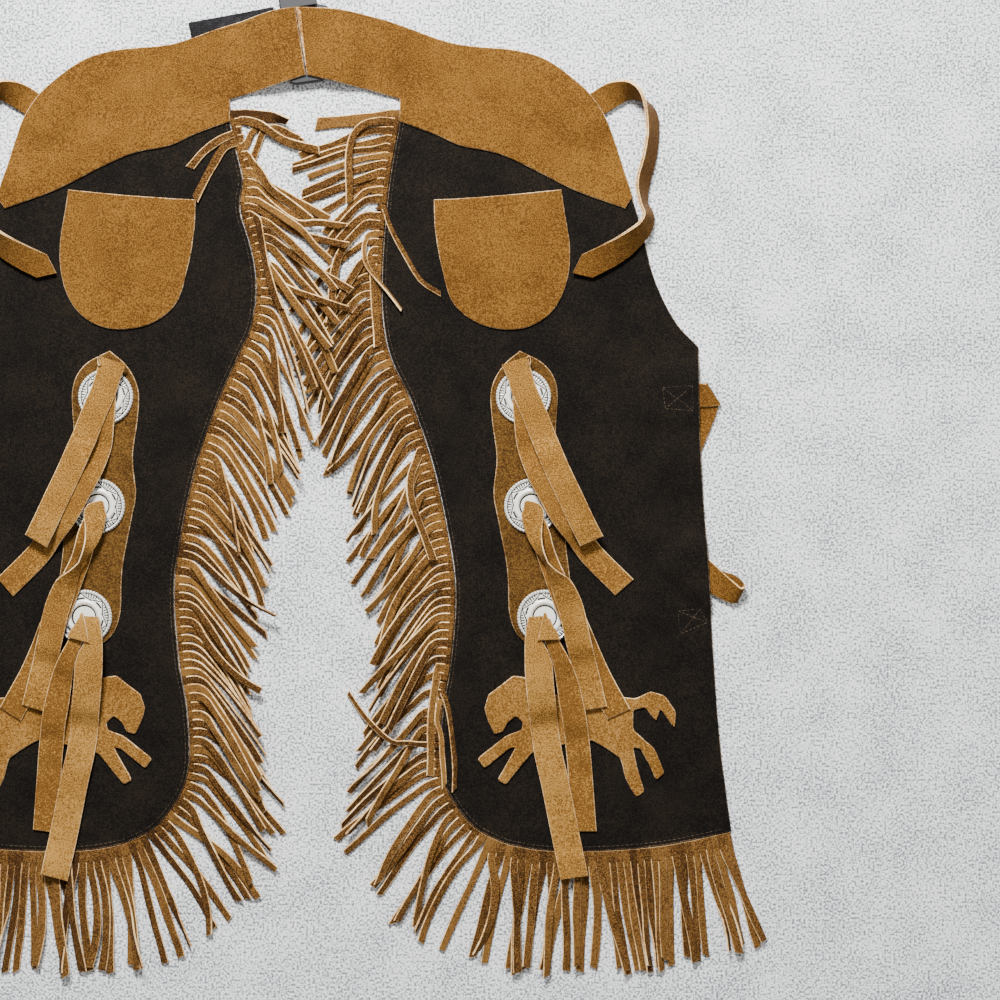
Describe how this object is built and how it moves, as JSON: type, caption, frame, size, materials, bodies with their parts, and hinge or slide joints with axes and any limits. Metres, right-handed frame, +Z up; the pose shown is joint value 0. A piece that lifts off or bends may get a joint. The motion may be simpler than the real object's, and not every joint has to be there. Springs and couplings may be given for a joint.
{
  "type": "fringed leather chaps",
  "caption": "Fringed suede chaps laid flat: dark leg panels, tan yoke and belt, fringed inner edges and hems, pockets, conchos with lace ends and a buckled belt.",
  "frame": {"origin": "the point of the surface that the chaps lie on, below the middle of their outline's box", "axes": "+X towards the wearer's left leg side shown whole in the picture (the right-hand leg of the picture), +Y from the hems to the belt, +Z up from the surface"},
  "size_m": [0.6385, 0.6877, 0.018],
  "materials": {
    "suede_dark": "napped near-black brown suede",
    "suede_tan": "napped tan suede",
    "suede_fringe": "napped tan suede with pale cut edges",
    "suede_tie": "napped light tan suede",
    "concho_metal": "antiqued silver",
    "webbing": "woven black webbing",
    "buckle_plastic": "moulded matte"
  },
  "bodies": {
    "root": {"leg_panel_right": "suede_dark", "leg_panel_left": "suede_dark", "yoke_right": "suede_tan", "yoke_left": "suede_tan", "fringe_inner_right": "suede_fringe", "fringe_inner_left": "suede_fringe", "fringe_hem_right": "suede_fringe", "fringe_hem_left": "suede_fringe", "pocket_right": "suede_tan", "pocket_left": "suede_tan", "concho_strip_right": "suede_tan", "concho_strip_left": "suede_tan", "horse_right": "suede_tan", "horse_left": "suede_tan", "concho_1_right": "concho_metal", "concho_2_right": "concho_metal", "concho_3_right": "concho_metal", "concho_1_left": "concho_metal", "concho_2_left": "concho_metal", "concho_3_left": "concho_metal", "tie_1_under_right": "suede_tie", "tie_1_upper_right": "suede_tie", "tie_2_under_right": "suede_tie", "tie_2_upper_right": "suede_tie", "tie_3_under_right": "suede_tie", "tie_3_upper_right": "suede_tie", "tie_1_under_left": "suede_tie", "tie_1_upper_left": "suede_tie", "tie_2_under_left": "suede_tie", "tie_2_upper_left": "suede_tie", "tie_3_under_left": "suede_tie", "tie_3_upper_left": "suede_tie", "hip_strap_right": "suede_tan", "hip_strap_left": "suede_tan", "leg_strap_upper_right": "suede_tan", "leg_strap_lower_right": "suede_tan", "leg_strap_upper_left": "suede_tan", "leg_strap_lower_left": "suede_tan", "webbing_left": "webbing", "webbing_right": "webbing", "buckle_socket": "buckle_plastic", "buckle_plug": "buckle_plastic"}
  },
  "joints": []
}
